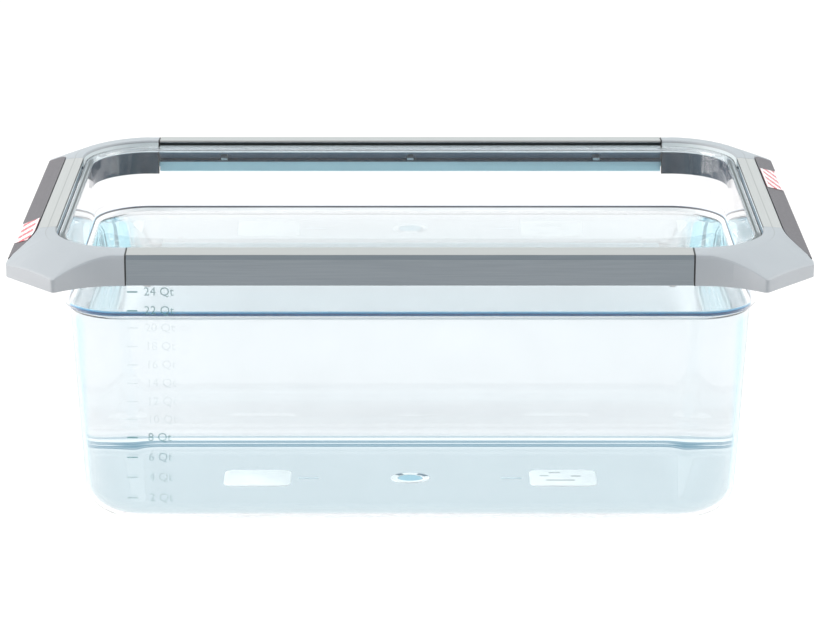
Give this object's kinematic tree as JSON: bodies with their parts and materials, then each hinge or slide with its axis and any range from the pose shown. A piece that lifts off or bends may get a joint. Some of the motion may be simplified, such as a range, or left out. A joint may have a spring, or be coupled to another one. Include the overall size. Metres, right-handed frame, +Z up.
{
  "type": "sous vide water bath",
  "caption": "Clear rectangular sous vide water bath with a metal rim frame, moulded corners and end handles.",
  "frame": {"origin": "centre of the bounding box in plan, on the surface that the tank's bottom rests on", "axes": "+X along the long side towards the right handle, +Y to the back, +Z up; the scale wall faces -Y"},
  "size_m": [0.5714, 0.3808, 0.2159],
  "materials": {
    "clear": "gloss",
    "aluminium": "satin",
    "grey_plastic": "satin",
    "inlay": "satin",
    "badge": "gloss",
    "steel": "satin"
  },
  "bodies": {
    "tank": {"tank": "clear"},
    "frame": {"back_rail": "aluminium", "corner_back_left": "grey_plastic", "corner_back_right": "grey_plastic", "corner_front_left": "grey_plastic", "corner_front_right": "grey_plastic", "end_casting_screw_back_left": "steel", "end_casting_screw_back_right": "steel", "end_casting_screw_front_left": "steel", "end_casting_screw_front_right": "steel", "end_key_back_left": "aluminium", "end_key_back_right": "aluminium", "end_key_front_left": "aluminium", "end_key_front_right": "aluminium", "end_rail_screw_back_left": "steel", "end_rail_screw_back_right": "steel", "end_rail_screw_front_left": "steel", "end_rail_screw_front_right": "steel", "front_rail": "aluminium", "left_badge": "badge", "left_end_rail": "aluminium", "left_grip": "grey_plastic", "left_inlay": "inlay", "right_badge": "badge", "right_end_rail": "aluminium", "right_grip": "grey_plastic", "right_inlay": "inlay", "side_casting_screw_back_left": "steel", "side_casting_screw_back_right": "steel", "side_casting_screw_front_left": "steel", "side_casting_screw_front_right": "steel", "side_key_back_left": "aluminium", "side_key_back_right": "aluminium", "side_key_front_left": "aluminium", "side_key_front_right": "aluminium", "side_rail_screw_back_left": "steel", "side_rail_screw_back_right": "steel", "side_rail_screw_front_left": "steel", "side_rail_screw_front_right": "steel", "tank_clip_back_left": "steel", "tank_clip_back_middle": "steel", "tank_clip_back_right": "steel", "tank_clip_front_left": "steel", "tank_clip_front_middle": "steel", "tank_clip_front_right": "steel"}
  },
  "joints": [
    {"name": "frame_slide", "type": "slide", "parent": "tank", "child": "frame", "axis": [0, 0, 1], "range_m": [-0.188, 0]}
  ]
}
